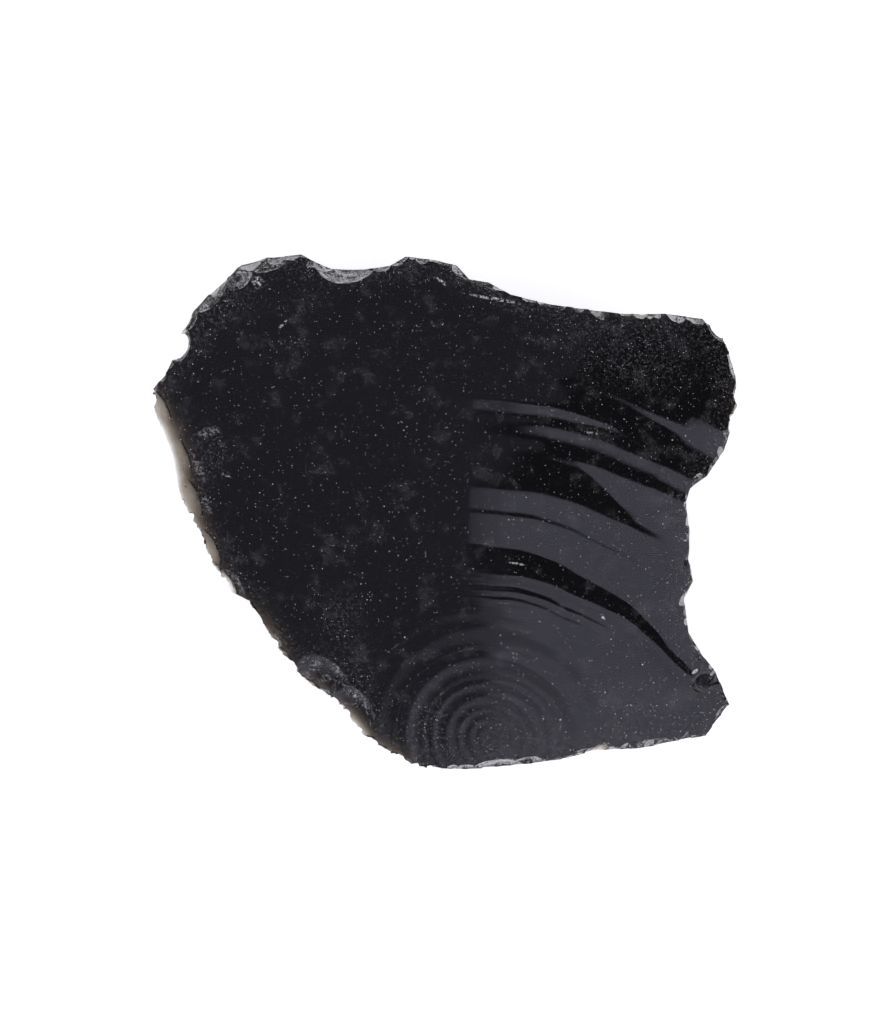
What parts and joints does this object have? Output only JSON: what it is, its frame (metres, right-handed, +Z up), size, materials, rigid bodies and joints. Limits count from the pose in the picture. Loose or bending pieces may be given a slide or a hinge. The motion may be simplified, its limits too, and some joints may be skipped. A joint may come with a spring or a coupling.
{
  "type": "obsidian chunk",
  "caption": "Thick flake of black volcanic glass with a smooth rippled split face, thin translucent edges and a hollow-scarred back, lying on a flat facet.",
  "frame": {"origin": "middle of the chunk's box seen from above, on the plane of the flat facet it rests on", "axes": "+Z up out of the smooth split face; +X along the long way across; +Y away from the edge that was struck"},
  "size_m": [0.08, 0.07, 0.02],
  "materials": {
    "volcanic_glass": "polished-looking broken glass, black in the mass and smoky brown where thin, with pale crushed chips along the edges and fine dust"
  },
  "bodies": {
    "root": {"obsidian_chunk": "volcanic_glass"}
  },
  "joints": []
}
